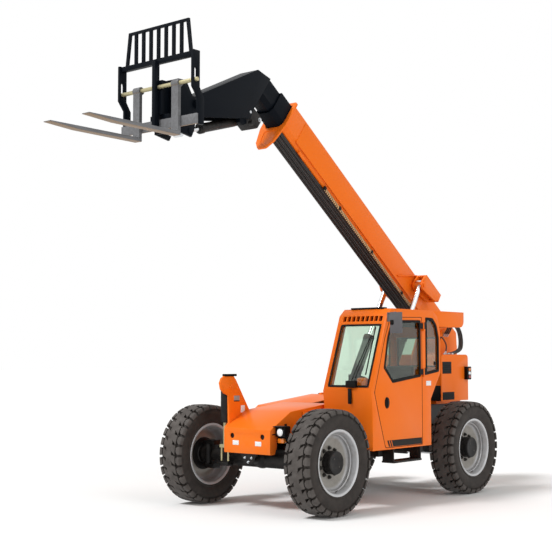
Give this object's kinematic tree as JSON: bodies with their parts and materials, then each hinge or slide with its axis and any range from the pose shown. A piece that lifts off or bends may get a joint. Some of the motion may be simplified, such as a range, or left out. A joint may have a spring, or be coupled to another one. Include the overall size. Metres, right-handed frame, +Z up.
{
  "type": "telehandler",
  "caption": "Rough-terrain telehandler with side cab, raised three-section telescopic boom, fork carriage and steering on both axles.",
  "frame": {"origin": "on the ground midway between the four wheels", "axes": "+X forward to the fork tips, +Y to the machine's left (cab side), +Z up"},
  "size_m": [7.5415, 2.68, 5.7],
  "materials": {
    "orange": "gloss enamel",
    "navy": "satin enamel",
    "black": "satin enamel",
    "silver": "satin enamel",
    "grey": "satin enamel",
    "rubber": "matt",
    "hose": "matt",
    "chrome": "polished",
    "zinc": "yellow zinc plate",
    "glass": "clear tinted",
    "lamp": "matt",
    "trim": "matt"
  },
  "bodies": {
    "chassis": {"main_frame": "orange", "nose": "orange", "sway_bracket": "orange", "counterweight": "orange", "rear_box_left": "orange", "rear_box_right": "orange", "cab_shell": "orange", "cab_glass": "glass", "roof_fairing": "orange", "seat": "trim", "console": "trim", "mirror": "trim", "step": "black", "engine_block": "black", "head_lamps": "lamp", "tail_lamps": "lamp", "sway_barrel": "black", "axle_hangers": "black"},
    "door": {"cab_door": "orange", "door_glass": "glass"},
    "hood": {"engine_hood": "orange"},
    "boom": {"boom_outer": "orange", "boom_hoses": "hose"},
    "mid_section": {"boom_middle": "navy"},
    "fly_section": {"boom_inner": "navy"},
    "carriage": {"coupler": "navy", "carriage_frame": "navy", "fork_rail": "grey", "fork_shaft": "zinc", "fork_left": "grey", "fork_right": "grey"},
    "tilt_barrel_body": {"tilt_barrel": "black"},
    "tilt_rod_body": {"tilt_rod": "chrome"},
    "sway_rod_body": {"sway_rod": "zinc"},
    "lift_barrel_left_body": {"lift_barrel_left": "black"},
    "lift_rod_left_body": {"lift_rod_left": "chrome"},
    "lift_barrel_right_body": {"lift_barrel_right": "black"},
    "lift_rod_right_body": {"lift_rod_right": "chrome"},
    "front_axle_body": {"front_axle": "black"},
    "rear_axle_body": {"rear_axle": "black"},
    "front_left_knuckle": {"knuckle_front_left": "black"},
    "front_left_wheel": {"tyre_front_left": "rubber", "rim_front_left": "silver", "hub_front_left": "black"},
    "front_right_knuckle": {"knuckle_front_right": "black"},
    "front_right_wheel": {"tyre_front_right": "rubber", "rim_front_right": "silver", "hub_front_right": "black"},
    "front_steer_rod_body": {"front_steer_rod": "chrome"},
    "rear_left_knuckle": {"knuckle_rear_left": "black"},
    "rear_left_wheel": {"tyre_rear_left": "rubber", "rim_rear_left": "silver", "hub_rear_left": "black"},
    "rear_right_knuckle": {"knuckle_rear_right": "black"},
    "rear_right_wheel": {"tyre_rear_right": "rubber", "rim_rear_right": "silver", "hub_rear_right": "black"},
    "rear_steer_rod_body": {"rear_steer_rod": "chrome"}
  },
  "joints": [
    {"name": "boom_lift", "type": "hinge", "parent": "chassis", "child": "boom", "pos_m": [-2.48, 0, 2.09], "axis": [0, -1, 0], "range_deg": [-40.3, 33.7]},
    {"name": "mid_extend", "type": "slide", "parent": "boom", "child": "mid_section", "axis": [0.8059, 0, 0.592], "range_m": [0, 3.1]},
    {"name": "fly_extend", "type": "slide", "parent": "mid_section", "child": "fly_section", "axis": [0.8059, 0, 0.592], "range_m": [0, 3.1]},
    {"name": "carriage_tilt", "type": "hinge", "parent": "fly_section", "child": "carriage", "pos_m": [2.97, 0, 4.83], "axis": [0, 1, 0], "range_deg": [-50, 60]},
    {"name": "lift_barrel_left_pivot", "type": "hinge", "parent": "chassis", "child": "lift_barrel_left_body", "pos_m": [-0.3, 0.29, 0.795], "axis": [0, -1, 0], "range_deg": [-6, 6]},
    {"name": "lift_rod_left_slide", "type": "slide", "parent": "lift_barrel_left_body", "child": "lift_rod_left_body", "axis": [-0.519, 0, 0.8548], "range_m": [-0.8, 0.68]},
    {"name": "lift_barrel_right_pivot", "type": "hinge", "parent": "chassis", "child": "lift_barrel_right_body", "pos_m": [-0.3, -0.29, 0.795], "axis": [0, -1, 0], "range_deg": [-6, 6]},
    {"name": "lift_rod_right_slide", "type": "slide", "parent": "lift_barrel_right_body", "child": "lift_rod_right_body", "axis": [-0.519, 0, 0.8548], "range_m": [-0.8, 0.68]},
    {"name": "tilt_barrel_pivot", "type": "hinge", "parent": "fly_section", "child": "tilt_barrel_body", "pos_m": [2.07, 0, 4.79], "axis": [0, -1, 0], "range_deg": [-14, 14]},
    {"name": "tilt_rod_slide", "type": "slide", "parent": "tilt_barrel_body", "child": "tilt_rod_body", "axis": [0.9604, 0, -0.2785], "range_m": [-0.4, 0.3]},
    {"name": "frame_sway", "type": "hinge", "parent": "chassis", "child": "front_axle_body", "pos_m": [1.55, 0, 0.635], "axis": [1, 0, 0], "range_deg": [-10, 10]},
    {"name": "rear_oscillation", "type": "hinge", "parent": "chassis", "child": "rear_axle_body", "pos_m": [-1.55, 0, 0.635], "axis": [1, 0, 0], "range_deg": [-10, 10]},
    {"name": "sway_rod_slide", "type": "slide", "parent": "chassis", "child": "sway_rod_body", "axis": [0, 0, 1], "range_m": [-0.09, 0.09]},
    {"name": "front_left_steer", "type": "hinge", "parent": "front_axle_body", "child": "front_left_knuckle", "pos_m": [1.55, 0.93, 0.635], "axis": [0, 0, 1], "range_deg": [-30, 30]},
    {"name": "front_left_spin", "type": "hinge", "parent": "front_left_knuckle", "child": "front_left_wheel", "pos_m": [1.55, 1.03, 0.635], "axis": [0, 1, 0], "continuous": true},
    {"name": "front_right_steer", "type": "hinge", "parent": "front_axle_body", "child": "front_right_knuckle", "pos_m": [1.55, -0.93, 0.635], "axis": [0, 0, 1], "range_deg": [-30, 30]},
    {"name": "front_right_spin", "type": "hinge", "parent": "front_right_knuckle", "child": "front_right_wheel", "pos_m": [1.55, -1.03, 0.635], "axis": [0, 1, 0], "continuous": true},
    {"name": "front_steer_rod_slide", "type": "slide", "parent": "front_axle_body", "child": "front_steer_rod_body", "axis": [0, 1, 0], "range_m": [-0.13, 0.13]},
    {"name": "rear_left_steer", "type": "hinge", "parent": "rear_axle_body", "child": "rear_left_knuckle", "pos_m": [-1.55, 0.93, 0.635], "axis": [0, 0, 1], "range_deg": [-30, 30]},
    {"name": "rear_left_spin", "type": "hinge", "parent": "rear_left_knuckle", "child": "rear_left_wheel", "pos_m": [-1.55, 1.03, 0.635], "axis": [0, 1, 0], "continuous": true},
    {"name": "rear_right_steer", "type": "hinge", "parent": "rear_axle_body", "child": "rear_right_knuckle", "pos_m": [-1.55, -0.93, 0.635], "axis": [0, 0, 1], "range_deg": [-30, 30]},
    {"name": "rear_right_spin", "type": "hinge", "parent": "rear_right_knuckle", "child": "rear_right_wheel", "pos_m": [-1.55, -1.03, 0.635], "axis": [0, 1, 0], "continuous": true},
    {"name": "rear_steer_rod_slide", "type": "slide", "parent": "rear_axle_body", "child": "rear_steer_rod_body", "axis": [0, 1, 0], "range_m": [-0.13, 0.13]},
    {"name": "door_swing", "type": "hinge", "parent": "chassis", "child": "door", "pos_m": [-0.288, 1.194, 2], "axis": [0, 0, 1], "range_deg": [0, 95]},
    {"name": "hood_lift", "type": "hinge", "parent": "chassis", "child": "hood", "pos_m": [-0.856, -0.71, 1.345], "axis": [0, -1, 0], "range_deg": [0, 50]}
  ],
  "couplings": [
    {"joint": "fly_extend", "follows": "mid_extend", "ratio": 1},
    {"joint": "lift_barrel_left_pivot", "follows": "boom_lift", "ratio": 0.08},
    {"joint": "lift_rod_left_slide", "follows": "boom_lift", "m_per_rad": 1.1},
    {"joint": "lift_barrel_right_pivot", "follows": "boom_lift", "ratio": 0.08},
    {"joint": "lift_rod_right_slide", "follows": "boom_lift", "m_per_rad": 1.1},
    {"joint": "tilt_barrel_pivot", "follows": "carriage_tilt", "ratio": -0.14},
    {"joint": "tilt_rod_slide", "follows": "carriage_tilt", "m_per_rad": -0.27},
    {"joint": "sway_rod_slide", "follows": "frame_sway", "m_per_rad": -0.468},
    {"joint": "front_right_steer", "follows": "front_left_steer", "ratio": 1},
    {"joint": "front_steer_rod_slide", "follows": "front_left_steer", "m_per_rad": -0.21},
    {"joint": "rear_right_steer", "follows": "rear_left_steer", "ratio": 1},
    {"joint": "rear_steer_rod_slide", "follows": "rear_left_steer", "m_per_rad": 0.21}
  ]
}
